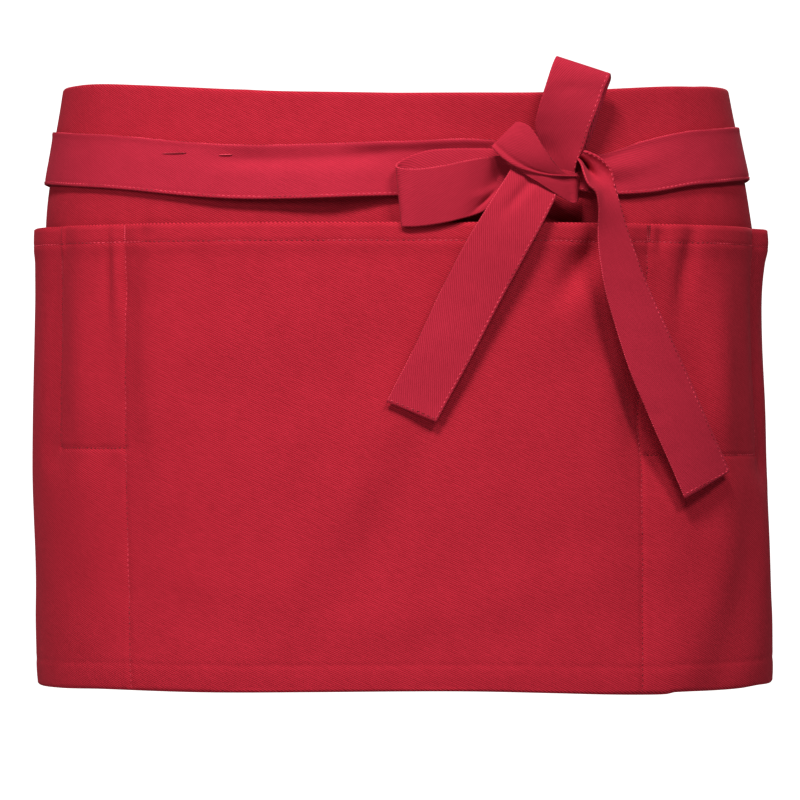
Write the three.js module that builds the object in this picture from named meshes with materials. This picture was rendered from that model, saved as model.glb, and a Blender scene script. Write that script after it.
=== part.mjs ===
// A short waist apron of red twill with a row of pockets, tied in a bow right of centre.
// Millimetres, +X to the right seen from the front, the front faces -Y, +Z up.
// The origin is the centre of the waist opening, half way up the waistband at the front.
// It keeps the form it has on a body: a ring that is open at the back, with the ties crossed there.

import * as THREE from 'three';

// Cloth
const CLOTH = 1.0;              // one layer of twill
const TIE_CLOTH = 1.2;          // a tie, pressed flat
const CLEARANCE = 0.4;          // free space between two layers
const TIE_CLEARANCE = 0.5;      // free space under a tie, which bends over a curved band

// Main sizes
const APRON_HEIGHT = 330;       // waistband's top edge to the hem, at the front
const BAND_HEIGHT = 48;
const BAND_RISE = 9;            // the waist sits this much higher at the sides
const RISE_START = 60;          // the rise starts this far from the front centre
const RISE_LENGTH = 140;        // and is complete this much further round
const SKIRT_WIDTH = 880;        // along the cloth, from one rear edge to the other
const HIP_HALF_WIDTH = 204;
const RING_DEPTH = 0.63;        // depth of the ring as a share of its width
const RING_SQUARENESS = 2.4;    // 2 is an ellipse

// Pockets
const MOUTH_DROP = 71;          // top edge to the pocket mouth
const MOUTH_HEM = 10;
const MOUTH_HEM_CLOTH = 1.8;    // the turned mouth hem, two layers pressed together
const BOTTOM_HEM = 15;          // turned up behind the skirt
const DIVIDER_LEFT = 155;       // seams, along the cloth from the front centre
const DIVIDER_RIGHT = 141;
const DIVIDER_RIGHT_SLANT = 8;  // the right divider leans in by this much at the hem
const OUTER_LEFT = 207;
const OUTER_RIGHT = 239;
const SMALL_POCKET_LEFT = 124;  // depth of the small pockets below the mouth
const SMALL_POCKET_RIGHT = 128;
const SEAM_REACH = 13;          // how far from a seam the cloth is still held down
const CENTRE_FULLNESS = 5.5;    // free depth inside the pockets
const SMALL_FULLNESS = 1.6;
const SIDE_FULLNESS_LEFT = 4.8;
const SIDE_FULLNESS_RIGHT = 7;
const CENTRE_LOSS = 0.75;       // share of the fullness that is gone at the hem
const SIDE_LOSS_LEFT = 0.5;
const SIDE_LOSS_RIGHT = 0.6;
const CENTRE_LOSS_ENDS = 0.75;  // the centre pocket has lost it at this share of its depth
const HEM_EASE = 45;            // height over which the pocket's cloth comes down on the hem
const SEAM_END_SOFTNESS = 60;   // below the outer seams the fullness changes over this width

// Ties and bow
const TIE_WIDTH = 30;
const TIE_SEWN = 20;            // length of tie sewn on the waistband's rear end
const KNOT_ROUND = 88.5;        // along the cloth from the front centre
const KNOT_DROP = 19.5;         // below the middle of the waistband
const LOOP_REACH = 89;          // knot centre to the left loop's end
const UP_LOOP_REACH = 59;       // knot centre to the top of the upright loop
const LEFT_TAIL_REACH = 154;    // knot centre to the end of each tail
const RIGHT_TAIL_REACH = 189;

// Mesh fineness
const BEND_STEP = 15;           // columns round the sides
const FLAT_STEP = 27;           // columns at the front and the back
const TIE_STEP = 7;             // along the ribbons of the bow
const FOLD_STEPS = 3;           // steps round a fold
const BACK_STEPS = 14;          // steps of a tie across the open back
const SEWN_STEPS = 2;           // steps of its sewn end
const ACROSS_TIE = [-0.5, 0, 0.5];
const ACROSS_RIBBON = [-0.5, -0.2, 0.2, 0.5];
const QUARTER_STEPS = 400;      // points on a quarter of the ring
const TANGENT_STEP = 0.004;     // stretch of a ring of half-width 1 that gives its direction

// Heights and lifts that follow from the sizes
const TOP = BAND_HEIGHT / 2;
const HEM = TOP - APRON_HEIGHT;
const MOUTH = TOP - MOUTH_DROP;
const REAR = SKIRT_WIDTH / 2;
const LAYER = CLOTH + CLEARANCE;            // skirt's middle to the middle of the next layer
const TIE_LIFT = LAYER + CLOTH / 2 + TIE_CLEARANCE + TIE_CLOTH / 2;
const TIE_LAYER = TIE_CLOTH + CLEARANCE;    // middle of one tie to the middle of the next
const DEGREE = Math.PI / 180;

// The ring's half-width from the waist to the hem, and its sway to one side, as shares of the hip
const RING_SECTIONS = [
  { down: 0, half: 0.926, sway: -0.011 },
  { down: 0.18, half: 0.978, sway: -0.006 },
  { down: 0.35, half: 0.983, sway: -0.006 },
  { down: 0.62, half: 0.998, sway: -0.004 },
  { down: 0.83, half: 1.002, sway: 0.005 },
  { down: 1, half: 1.018, sway: 0.011 },
];

// Soft upright folds in skirt and pocket: round is a share of the half cloth width from the front
// centre, wide a share of it too, deep a share of the cloth, and from and to are shares of the height
const FOLDS = [
  { round: -0.386, wide: 0.028, deep: -1.3, from: 0.2, to: 0.8 },
  { round: -0.318, wide: 0.026, deep: 1.2, from: 0.2, to: 0.72 },
  { round: 0.374, wide: 0.03, deep: -1.6, from: 0.2, to: 0.66 },
  { round: 0.43, wide: 0.03, deep: 1.5, from: 0.2, to: 0.7 },
  { round: 0.4, wide: 0.05, deep: -1.2, from: 0.55, to: 1.15 },
  { round: 0.6, wide: 0.07, deep: 1.4, from: 0.85, to: 1.2 },
  { round: -0.68, wide: 0.07, deep: 1.2, from: 0.5, to: 1.2 },
];

function lerp(a, b, t) {
  return a + (b - a) * t;
}

function smooth(t) {
  const c = Math.min(1, Math.max(0, t));
  return c * c * (3 - 2 * c);
}

// A smooth curve through the rows of a table: the value of column `name` where column `key` is x
function along(table, key, name, x) {
  const last = table.length - 1;
  let i = 0;
  while (i < last - 1 && x > table[i + 1][key]) i += 1;
  const left = table[i];
  const right = table[i + 1];
  const before = table[Math.max(0, i - 1)];
  const after = table[Math.min(last, i + 2)];
  const span = right[key] - left[key];
  const t = (x - left[key]) / span;
  const slopeIn = (right[name] - before[name]) / (right[key] - before[key]) * span;
  const slopeOut = (after[name] - left[name]) / (after[key] - left[key]) * span;
  if (t < 0) return left[name] + slopeIn * t;
  if (t > 1) return right[name] + slopeOut * (t - 1);
  const t2 = t * t;
  const t3 = t2 * t;
  return left[name] * (2 * t3 - 3 * t2 + 1) + slopeIn * (t3 - 2 * t2 + t)
    + right[name] * (3 * t2 - 2 * t3) + slopeOut * (t3 - t2);
}

// One quarter of the ring with half-width 1, from the front centre to the side, by arc length
const quarter = [{ x: 0, y: -RING_DEPTH, length: 0 }];
for (let i = 1; i <= QUARTER_STEPS; i += 1) {
  const angle = Math.PI / 2 * i / QUARTER_STEPS;
  const x = Math.sin(angle) ** (2 / RING_SQUARENESS);
  const y = -RING_DEPTH * Math.max(0, Math.cos(angle)) ** (2 / RING_SQUARENESS);
  const from = quarter[i - 1];
  quarter.push({ x, y, length: from.length + Math.hypot(x - from.x, y - from.y) });
}
const QUARTER_LENGTH = quarter[QUARTER_STEPS].length;

function quarterPoint(length) {
  let low = 0;
  let high = QUARTER_STEPS;
  while (high - low > 1) {
    const middle = (low + high) >> 1;
    if (quarter[middle].length < length) low = middle;
    else high = middle;
  }
  const a = quarter[low];
  const b = quarter[high];
  const t = (length - a.length) / (b.length - a.length);
  return { x: lerp(a.x, b.x, t), y: lerp(a.y, b.y, t) };
}

function ringPoint(length) {
  const whole = 4 * QUARTER_LENGTH;
  const turned = ((length % whole) + whole) % whole;
  const side = turned > whole / 2 ? -1 : 1;
  const half = side > 0 ? turned : whole - turned;
  const behind = half > QUARTER_LENGTH;
  const p = quarterPoint(behind ? 2 * QUARTER_LENGTH - half : half);
  return { x: side * p.x, y: behind ? -p.y : p.y };
}

function downShare(z) {
  return (TOP - z) / APRON_HEIGHT;
}

function halfWidth(z) {
  return HIP_HALF_WIDTH * along(RING_SECTIONS, 'down', 'half', downShare(z));
}

function halfRing(z) {
  return 2 * QUARTER_LENGTH * halfWidth(z);
}

function bandTop(round) {
  return TOP + BAND_RISE * smooth((Math.abs(round) - RISE_START) / RISE_LENGTH);
}

function foldLift(round, z) {
  const share = round / REAR;
  const down = downShare(z);
  let lift = 0;
  for (const fold of FOLDS) {
    const middle = (fold.from + fold.to) / 2;
    const reach = (fold.to - fold.from) / 2;
    const across = Math.exp(-(((share - fold.round) / fold.wide) ** 2));
    lift += fold.deep * CLOTH * across * smooth(1 - Math.abs(down - middle) / reach);
  }
  return lift;
}

// A point of the apron: round is measured along the cloth from the front centre, positive to the
// right, z is its height and lift its distance outward from the middle of the skirt's cloth
function place(round, z, lift) {
  const half = halfWidth(z);
  const p = ringPoint(round / half);
  const before = ringPoint(round / half - TANGENT_STEP);
  const after = ringPoint(round / half + TANGENT_STEP);
  const tangent = new THREE.Vector2(after.x - before.x, after.y - before.y).normalize();
  const out = lift + foldLift(round, z);
  const sway = HIP_HALF_WIDTH * along(RING_SECTIONS, 'down', 'sway', downShare(z));
  return new THREE.Vector3(half * p.x + sway + out * tangent.y, half * p.y - out * tangent.x, z);
}

// A closed wall about a grid of points, thick enough on both sides of it
function wall(grid, thickness) {
  const rows = grid.length;
  const columns = grid[0].length;
  const vertices = [];
  const faces = [];
  const du = new THREE.Vector3();
  const dv = new THREE.Vector3();
  const normals = grid.map((row, i) => row.map((_, j) => {
    du.subVectors(grid[Math.min(rows - 1, i + 1)][j], grid[Math.max(0, i - 1)][j]);
    dv.subVectors(row[Math.min(columns - 1, j + 1)], row[Math.max(0, j - 1)]);
    return new THREE.Vector3().crossVectors(du, dv).normalize();
  }));
  for (const side of [0.5, -0.5]) {
    for (let i = 0; i < rows; i += 1) {
      for (let j = 0; j < columns; j += 1) {
        const thick = typeof thickness === 'function' ? thickness(i, j) : thickness;
        vertices.push(grid[i][j].clone().addScaledVector(normals[i][j], side * thick));
      }
    }
  }
  const front = (i, j) => i * columns + j;
  const back = (i, j) => rows * columns + i * columns + j;
  const quad = (a, b, c, d, turned = false) => {
    if (turned) faces.push([a, b, d], [b, c, d]);
    else faces.push([a, b, c], [a, c, d]);
  };
  for (let i = 0; i < rows - 1; i += 1) {
    for (let j = 0; j < columns - 1; j += 1) {
      // Each square is halved from its lower left to its upper right, the same way in every layer
      const turned = grid[i][j + 1].z < grid[i][j].z;
      quad(front(i, j), front(i + 1, j), front(i + 1, j + 1), front(i, j + 1), turned);
      quad(back(i, j), back(i, j + 1), back(i + 1, j + 1), back(i + 1, j), turned);
    }
  }
  for (let i = 0; i < rows - 1; i += 1) {
    quad(front(i, 0), back(i, 0), back(i + 1, 0), front(i + 1, 0));
    const j = columns - 1;
    quad(front(i, j), front(i + 1, j), back(i + 1, j), back(i, j));
  }
  for (let j = 0; j < columns - 1; j += 1) {
    quad(front(0, j), front(0, j + 1), back(0, j + 1), back(0, j));
    const i = rows - 1;
    quad(front(i, j), back(i, j), back(i, j + 1), front(i, j + 1));
  }
  const geometry = new THREE.BufferGeometry();
  const numbers = vertices.flatMap((v) => [v.x, v.y, v.z]);
  geometry.setAttribute('position', new THREE.Float32BufferAttribute(numbers, 3));
  geometry.setIndex(faces.flat());
  geometry.computeVertexNormals();
  return geometry;
}

// Columns shared by all that goes round the body, so that stacked layers stay parallel. They are
// close where the ring bends, from beside the right divider to where it runs flat behind.
const BEND_FROM = DIVIDER_RIGHT - FLAT_STEP;
const BEND_TO = REAR - 4 * FLAT_STEP;

function columnsBetween(marks) {
  const columns = [marks[0]];
  for (let k = 1; k < marks.length; k += 1) {
    const middle = Math.abs(marks[k] + marks[k - 1]) / 2;
    const bend = middle > BEND_FROM && middle < BEND_TO;
    const steps = Math.ceil((marks[k] - marks[k - 1]) / (bend ? BEND_STEP : FLAT_STEP));
    for (let i = 1; i <= steps; i += 1) columns.push(lerp(marks[k - 1], marks[k], i / steps));
  }
  return columns;
}

const SIDE_MARK = (OUTER_RIGHT + REAR) / 2;
const MARKS = [
  -REAR, -SIDE_MARK, -OUTER_LEFT - SEAM_REACH, -OUTER_LEFT, -OUTER_LEFT + SEAM_REACH,
  -DIVIDER_LEFT - SEAM_REACH, -DIVIDER_LEFT, -DIVIDER_LEFT + SEAM_REACH, 0,
  DIVIDER_RIGHT - SEAM_REACH, DIVIDER_RIGHT, DIVIDER_RIGHT + SEAM_REACH,
  OUTER_RIGHT - SEAM_REACH, OUTER_RIGHT, OUTER_RIGHT + SEAM_REACH, SIDE_MARK, REAR,
];
const COLUMNS = columnsBetween(MARKS);

// Heights of a fold over a cloth edge, as steps of half a circle about the edge
function foldSteps(outside, inside, edge, sign) {
  const steps = [];
  for (let k = 0; k <= FOLD_STEPS; k += 1) {
    const angle = Math.PI * k / FOLD_STEPS;
    steps.push({ lift: LAYER * Math.cos(angle), z: edge + sign * LAYER * Math.sin(angle) });
  }
  return [{ lift: LAYER, z: outside }, ...steps, { lift: -LAYER, z: inside }];
}

// The waistband's fold lies on the skirt's top edge
const FOLD_HEIGHT = LAYER + CLOTH / 2;

function makeWaistband() {
  const grid = COLUMNS.map((round) => {
    const edge = bandTop(round) - FOLD_HEIGHT;
    const low = bandTop(round) - BAND_HEIGHT;
    const middle = (edge + low) / 2;
    const fold = foldSteps(middle, middle, edge, 1);
    const rows = [{ lift: LAYER, z: low }, ...fold, { lift: -LAYER, z: low }];
    return rows.map((p) => place(round, p.z, p.lift));
  });
  return wall(grid, CLOTH);
}

// The skirt shares its upper rows with the waistband, so that the two stay parallel. The rows below
// are shares of the height from the waistband's lower edge to the hem.
const SKIRT_ROWS = [0, 0.1, 0.22, 0.36, 0.5, 0.64, 0.77, 0.89, 1];

function makeSkirt() {
  const grid = COLUMNS.map((round) => {
    const edge = bandTop(round) - FOLD_HEIGHT;
    const low = bandTop(round) - BAND_HEIGHT;
    const rows = SKIRT_ROWS.map((share) => lerp(low, HEM + FOLD_HEIGHT, share));
    return [edge, (edge + low) / 2, ...rows].map((z) => place(round, z, 0));
  });
  return wall(grid, CLOTH);
}

// Seams that hold the pocket down on the skirt, as lines between two points of the cloth
const SEAMS = [
  { from: [-DIVIDER_LEFT, MOUTH], to: [-DIVIDER_LEFT, HEM] },
  { from: [DIVIDER_RIGHT, MOUTH], to: [DIVIDER_RIGHT - DIVIDER_RIGHT_SLANT, HEM] },
  { from: [-OUTER_LEFT, MOUTH], to: [-OUTER_LEFT, MOUTH - SMALL_POCKET_LEFT] },
  { from: [OUTER_RIGHT, MOUTH], to: [OUTER_RIGHT, MOUTH - SMALL_POCKET_RIGHT] },
  { from: [-OUTER_LEFT, MOUTH - SMALL_POCKET_LEFT], to: [-DIVIDER_LEFT, MOUTH - SMALL_POCKET_LEFT] },
  { from: [DIVIDER_RIGHT, MOUTH - SMALL_POCKET_RIGHT], to: [OUTER_RIGHT, MOUTH - SMALL_POCKET_RIGHT] },
  { from: [-REAR, MOUTH], to: [-REAR, HEM] },
  { from: [REAR, MOUTH], to: [REAR, HEM] },
];

function distanceToSeam(seam, round, z) {
  const [ax, az] = seam.from;
  const dx = seam.to[0] - ax;
  const dz = seam.to[1] - az;
  const t = ((round - ax) * dx + (z - az) * dz) / (dx * dx + dz * dz);
  const c = Math.min(1, Math.max(0, t));
  return Math.hypot(round - ax - c * dx, z - az - c * dz);
}

// Free depth behind the pocket's cloth. Below the outer seams the small and the side pocket run
// into each other softly.
function fullness(round, z) {
  const down = (MOUTH - z) / (MOUTH - HEM);
  if (round > -DIVIDER_LEFT && round < DIVIDER_RIGHT) {
    return CENTRE_FULLNESS * (1 - CENTRE_LOSS * smooth(down / CENTRE_LOSS_ENDS));
  }
  const [outer, depth, full, loss] = round < 0
    ? [OUTER_LEFT, SMALL_POCKET_LEFT, SIDE_FULLNESS_LEFT, SIDE_LOSS_LEFT]
    : [OUTER_RIGHT, SMALL_POCKET_RIGHT, SIDE_FULLNESS_RIGHT, SIDE_LOSS_RIGHT];
  const below = smooth((MOUTH - depth - z) / SEAM_END_SOFTNESS);
  const runIn = SEAM_REACH + (SEAM_END_SOFTNESS - SEAM_REACH) * below;
  const past = smooth(0.5 + (Math.abs(round) - outer) / runIn);
  return lerp(SMALL_FULLNESS, full * (1 - loss * smooth(down)), past);
}

// The pocket's cloth is double along its mouth
function pocketCloth(z) {
  return lerp(CLOTH, MOUTH_HEM_CLOTH, smooth((z - MOUTH + 2 * MOUTH_HEM) / MOUTH_HEM));
}

// Middle of the pocket's cloth above the middle of the skirt's
function pocketLift(round, z) {
  let held = smooth((z - HEM) / HEM_EASE);
  for (const seam of SEAMS) {
    const near = distanceToSeam(seam, round, z) / SEAM_REACH;
    held *= 1 - Math.exp(-near * near);
  }
  return LAYER + (pocketCloth(z) - CLOTH) / 2 + fullness(round, z) * held;
}

// Heights of the pocket's rows below its mouth hem, as shares of its depth
const POCKET_ROWS = [0.16, 0.26, 0.37, 0.47, 0.56, 0.68, 0.82, 0.94];

function makePocket() {
  const edge = HEM + FOLD_HEIGHT;
  const fold = foldSteps(edge, edge + BOTTOM_HEM, edge, -1).slice(1);
  const hem = [MOUTH, MOUTH - MOUTH_HEM, MOUTH - 2 * MOUTH_HEM];
  const heights = [...hem, ...POCKET_ROWS.map((share) => lerp(MOUTH, edge, share))];
  const grid = COLUMNS.map((round) => {
    const face = heights.map((z) => place(round, z, pocketLift(round, z)));
    return [...face, ...fold.map((p) => place(round, p.z, p.lift))];
  });
  return wall(grid, (i, j) => (j < heights.length ? pocketCloth(heights[j]) : CLOTH));
}

// Ties: round is a share of the half cloth width from the front centre, up a share of the tie's
// width from the middle of the waistband, wide its width, and over counts layers of tie beneath it
const TIE_LEFT_ROUTE = [
  { round: -1, up: -0.47, wide: 1, over: 1 },
  { round: -0.94, up: -0.4, wide: 1, over: 1 },
  { round: -0.9, up: -0.34, wide: 1, over: 0 },
  { round: -0.6, up: -0.22, wide: 1, over: 0 },
  { round: -0.4, up: -0.37, wide: 1, over: 0 },
  { round: -0.2, up: -0.63, wide: 1, over: 0 },
  { round: 0, up: -0.58, wide: 1, over: 0 },
  { round: 0.11, up: -0.56, wide: 1, over: 0 },
  { round: 0.187, up: -0.63, wide: 0.8, over: 0 },
];
const TIE_RIGHT_ROUTE = [
  { round: -1, up: -0.47, wide: 1, over: 1 },
  { round: -0.94, up: -0.4, wide: 1, over: 1 },
  { round: -0.9, up: -0.34, wide: 1, over: 0 },
  { round: -0.6, up: -0.14, wide: 1, over: 0 },
  { round: -0.4, up: -0.3, wide: 1.02, over: 0 },
  { round: -0.32, up: -0.5, wide: 0.98, over: 0 },
  { round: -0.26, up: -0.66, wide: 0.74, over: 0 },
  { round: -0.212, up: -0.66, wide: 0.55, over: 0 },
];
// Behind: gone is the share of the open back that is crossed, counted from the side it comes round
const LEFT_BEHIND = [
  { gone: 0, up: -0.47, over: 1 },
  { gone: 0.15, up: -0.6, over: 1 },
  { gone: 0.3, up: -0.59, over: 1 },
  { gone: 0.5, up: 0, over: 1 },
  { gone: 0.7, up: 0.59, over: 1 },
  { gone: 0.83, up: 0.6, over: 0 },
  { gone: 1, up: 0.3, over: 0 },
];
const RIGHT_BEHIND = [
  { gone: 0, up: -0.47, over: 1 },
  { gone: 0.15, up: -0.6, over: 1 },
  { gone: 0.3, up: -0.59, over: 0 },
  { gone: 0.5, up: 0, over: 0 },
  { gone: 0.7, up: 0.59, over: 0 },
  { gone: 0.83, up: 0.6, over: 0 },
  { gone: 1, up: 0.3, over: 0 },
];

function straight(table, key, name, x) {
  let i = 0;
  while (i < table.length - 2 && x > table[i + 1][key]) i += 1;
  const a = table[i];
  const b = table[i + 1];
  return lerp(a[name], b[name], Math.min(1, Math.max(0, (x - a[key]) / (b[key] - a[key]))));
}

// One tie, worked out as if it came round the left; side mirrors it
function makeTie(route, behind, side) {
  const end = route[route.length - 1].round * REAR;
  const grid = [];
  for (let k = SEWN_STEPS; k >= 1; k -= 1) {
    const row = behind[behind.length - 1];
    grid.push(ACROSS_TIE.map((share) => {
      const z = TIE_WIDTH * (row.up + share);
      return place(side * (-2 * halfRing(z) + REAR - TIE_SEWN * k / SEWN_STEPS), z, TIE_LIFT);
    }));
  }
  for (let k = BACK_STEPS; k >= 1; k -= 1) {
    const gone = k / BACK_STEPS;
    const up = along(behind, 'gone', 'up', gone);
    const lift = TIE_LIFT + TIE_LAYER * straight(behind, 'gone', 'over', gone);
    grid.push(ACROSS_TIE.map((share) => {
      const z = TIE_WIDTH * (up + share);
      const open = 2 * halfRing(z) - 2 * REAR;
      return place(side * (-REAR - gone * open), z, lift);
    }));
  }
  const own = side > 0 ? COLUMNS : COLUMNS.map((c) => -c).reverse();
  const sewn = [-REAR, -REAR + TIE_SEWN / 2, -REAR + TIE_SEWN];
  const free = own.filter((c) => c > -REAR + TIE_SEWN && c < end - BEND_STEP / 2);
  const stations = [...sewn, ...free, end];
  for (const round of stations) {
    const share = round / REAR;
    const up = along(route, 'round', 'up', share);
    const wide = along(route, 'round', 'wide', share);
    const lift = TIE_LIFT + TIE_LAYER * straight(route, 'round', 'over', share);
    grid.push(ACROSS_TIE.map((part) => place(side * round, TIE_WIDTH * (up + wide * part), lift)));
  }
  return side > 0 ? wall(grid, TIE_CLOTH) : wall(grid.reverse(), TIE_CLOTH);
}

// A ribbon of the bow through the rows of its route, which are counted from the knot's centre.
// across and up are shares of the reach, lift a share of the tie's width. turn is the way its
// width points, in degrees from level, lean turns that out of the cloth, and wide is a share of
// the tie's width. cup is how far the middle stands out, as a share of the tie's width.
function makeRibbon(route, reach, clear = () => 0) {
  const rows = route.map((row, k) => ({ ...row, at: k }));
  for (let k = 1; k < rows.length; k += 1) {
    const a = rows[k - 1];
    const b = rows[k];
    const flat = Math.hypot(b.across - a.across, b.up - a.up) * reach;
    b.at = a.at + Math.hypot(flat, (b.lift - a.lift) * TIE_WIDTH);
  }
  const length = rows[rows.length - 1].at;
  const steps = Math.ceil(length / TIE_STEP);
  const grid = [];
  for (let k = 0; k <= steps; k += 1) {
    const at = length * k / steps;
    const value = (name) => along(rows, 'at', name, at);
    const turn = value('turn') * DEGREE;
    const lean = value('lean') * DEGREE;
    grid.push(ACROSS_RIBBON.map((share) => {
      const wide = share * value('wide') * TIE_WIDTH;
      const round = KNOT_ROUND + reach * value('across') + wide * Math.cos(turn) * Math.cos(lean);
      const z = -KNOT_DROP + reach * value('up') + wide * Math.sin(turn) * Math.cos(lean);
      const cup = value('cup') * TIE_WIDTH * (1 - 4 * share * share);
      const lift = TIE_WIDTH * value('lift') + wide * Math.sin(lean) + cup;
      return place(round, z, Math.max(lift, clear(round, z)));
    }));
  }
  return wall(grid, TIE_CLOTH);
}

// What hangs below the pocket mouth stays clear of the pocket's face
function clearOfPocket(round, z) {
  const face = pocketLift(round, Math.min(z, MOUTH)) + pocketCloth(z) / 2;
  return (face + CLEARANCE + TIE_CLOTH) * smooth((MOUTH + MOUTH_HEM - z) / MOUTH_HEM);
}

const LEFT_LOOP = [
  { across: -0.16, up: -0.02, lift: 0.157, turn: 90, lean: 0, wide: 0.75, cup: 0 },
  { across: -0.37, up: -0.03, lift: 0.16, turn: 91, lean: 0, wide: 1, cup: 0 },
  { across: -0.61, up: -0.046, lift: 0.16, turn: 93, lean: 0, wide: 1.06, cup: 0 },
  { across: -0.83, up: -0.08, lift: 0.18, turn: 96, lean: 0, wide: 1.07, cup: 0 },
  { across: -0.95, up: -0.12, lift: 0.22, turn: 97, lean: 0, wide: 1.08, cup: 0 },
  { across: -0.985, up: -0.147, lift: 0.31, turn: 97, lean: 0, wide: 1.09, cup: 0 },
  { across: -0.95, up: -0.152, lift: 0.4, turn: 97, lean: 0, wide: 1.08, cup: 0 },
  { across: -0.83, up: -0.15, lift: 0.45, turn: 97, lean: 0, wide: 1.07, cup: 0 },
  { across: -0.61, up: -0.117, lift: 0.43, turn: 98, lean: 0, wide: 1.06, cup: 0 },
  { across: -0.39, up: -0.086, lift: 0.33, turn: 98, lean: 0, wide: 0.98, cup: 0 },
  { across: -0.16, up: -0.06, lift: 0.27, turn: 98, lean: 0, wide: 0.75, cup: 0 },
];
const UP_LOOP = [
  { across: -0.04, up: 0.1, lift: 0.34, turn: -18, lean: 0, wide: 0.55, cup: 0 },
  { across: 0, up: 0.32, lift: 0.28, turn: -18, lean: 0, wide: 0.95, cup: 0 },
  { across: 0.1, up: 0.6, lift: 0.38, turn: -18, lean: 0, wide: 1.06, cup: 0 },
  { across: 0.2, up: 0.92, lift: 0.5, turn: -18, lean: 0, wide: 1.06, cup: 0 },
  { across: 0.222, up: 0.985, lift: 0.6, turn: -18, lean: 0, wide: 1.06, cup: 0 },
  { across: 0.2, up: 0.93, lift: 0.7, turn: -18, lean: 0, wide: 1.06, cup: 0 },
  { across: 0.09, up: 0.62, lift: 0.62, turn: -18, lean: 0, wide: 1.06, cup: 0 },
  { across: -0.01, up: 0.31, lift: 0.51, turn: -17, lean: 0, wide: 1, cup: 0 },
  { across: -0.045, up: 0.13, lift: 0.52, turn: -14, lean: 0, wide: 0.5, cup: 0 },
];
const LEFT_TAIL = [
  { across: -0.085, up: -0.03, lift: 0.35, turn: -36, lean: 0, wide: 0.95, cup: 0 },
  { across: -0.125, up: -0.09, lift: 0.41, turn: -33, lean: 0, wide: 1.02, cup: 0.02 },
  { across: -0.231, up: -0.277, lift: 0.5, turn: -28, lean: 0, wide: 1.06, cup: 0.03 },
  { across: -0.323, up: -0.454, lift: 0.5, turn: -27, lean: 0, wide: 1.04, cup: 0.02 },
  { across: -0.412, up: -0.632, lift: 0.44, turn: -27, lean: 0, wide: 1.01, cup: 0.01 },
  { across: -0.483, up: -0.774, lift: 0.38, turn: -26, lean: 0, wide: 1, cup: 0 },
  { across: -0.527, up: -0.85, lift: 0.34, turn: -23, lean: 0, wide: 1, cup: 0 },
];
const RIGHT_TAIL = [
  { across: 0.065, up: 0.05, lift: 0.16, turn: 40, lean: 0, wide: 0.55, cup: 0 },
  { across: 0.104, up: 0.02, lift: 0.31, turn: 22, lean: -25, wide: 0.6, cup: -0.08 },
  { across: 0.128, up: -0.05, lift: 0.52, turn: 8, lean: -48, wide: 0.8, cup: -0.08 },
  { across: 0.146, up: -0.13, lift: 0.65, turn: 4, lean: -46, wide: 0.84, cup: -0.04 },
  { across: 0.16, up: -0.21, lift: 0.68, turn: 9, lean: -40, wide: 0.88, cup: 0 },
  { across: 0.191, up: -0.327, lift: 0.66, turn: 14, lean: -33, wide: 0.94, cup: 0 },
  { across: 0.238, up: -0.455, lift: 0.62, turn: 19, lean: -22, wide: 0.98, cup: 0 },
  { across: 0.288, up: -0.582, lift: 0.58, turn: 21, lean: -12, wide: 1, cup: 0 },
  { across: 0.353, up: -0.716, lift: 0.55, turn: 22, lean: -5, wide: 1.02, cup: 0 },
  { across: 0.411, up: -0.829, lift: 0.52, turn: 23, lean: 0, wide: 1.04, cup: 0 },
  { across: 0.455, up: -0.906, lift: 0.5, turn: 30, lean: 0, wide: 1.05, cup: 0 },
];
const WRAP = [
  { across: -0.9, up: 0.46, lift: 0.38, turn: 48, lean: 0, wide: 0.55, cup: 0 },
  { across: -1.06, up: 0.66, lift: 0.44, turn: 46, lean: 0, wide: 0.62, cup: 0 },
  { across: -0.98, up: 0.62, lift: 0.54, turn: 48, lean: 0, wide: 0.66, cup: 0.03 },
  { across: -0.66, up: 0.42, lift: 0.6, turn: 60, lean: 0, wide: 0.74, cup: 0.05 },
  { across: -0.3, up: 0.16, lift: 0.585, turn: 66, lean: 0, wide: 0.44, cup: 0.03 },
  { across: 0.1, up: -0.05, lift: 0.57, turn: 70, lean: 0, wide: 0.14, cup: 0 },
];
const LOWER = [
  { across: -0.72, up: 0.1, lift: 0.42, turn: 60, lean: 0, wide: 0.3, cup: 0 },
  { across: -0.36, up: -0.1, lift: 0.47, turn: 66, lean: 0, wide: 0.36, cup: 0.02 },
  { across: 0.02, up: -0.26, lift: 0.5, turn: 76, lean: 0, wide: 0.5, cup: 0.02 },
  { across: 0.26, up: -0.34, lift: 0.42, turn: 84, lean: 0, wide: 0.52, cup: 0 },
  { across: 0.3, up: -0.36, lift: 0.3, turn: 88, lean: 0, wide: 0.5, cup: 0 },
];

// Materials: the same red twill, each with its own small difference in tone
const TWILL_ROUGHNESS = 0.92;
const TIE_ROUGHNESS = 0.88;

function twill(colour, roughness) {
  return new THREE.MeshStandardMaterial({ color: colour, roughness, metalness: 0 });
}

const group = new THREE.Group();

function add(name, geometry, colour, roughness = TIE_ROUGHNESS) {
  const mesh = new THREE.Mesh(geometry, twill(colour, roughness));
  mesh.name = name;
  group.add(mesh);
}

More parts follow.
